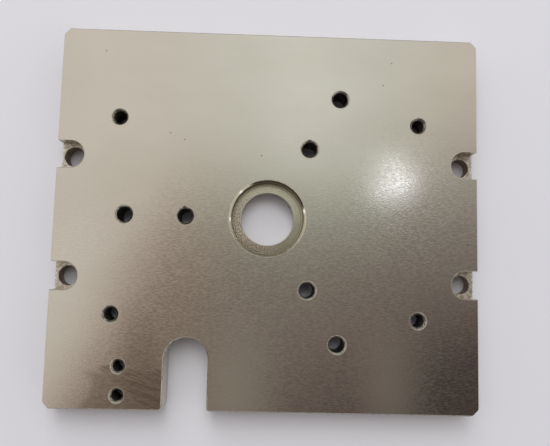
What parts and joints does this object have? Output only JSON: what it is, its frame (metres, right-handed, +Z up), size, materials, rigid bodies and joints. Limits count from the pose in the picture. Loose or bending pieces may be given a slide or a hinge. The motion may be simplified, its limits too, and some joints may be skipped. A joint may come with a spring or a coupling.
{
  "type": "fixture plate",
  "caption": "Flat rectangular steel plate with a recessed centre bore, plain and tapped holes, screw seats open at two sides and a round-ended slot in from the front.",
  "frame": {"origin": "on the axis of the centre bore, in the plate's underside", "axes": "+X along the long side, +Y across to the side opposite the slot, +Z up through the thickness to the face that holds the recess"},
  "size_m": [0.168, 0.15, 0.012],
  "materials": {
    "ground_steel": "ground, fine straight grain"
  },
  "bodies": {
    "root": {"fixture_plate": "ground_steel"}
  },
  "joints": []
}
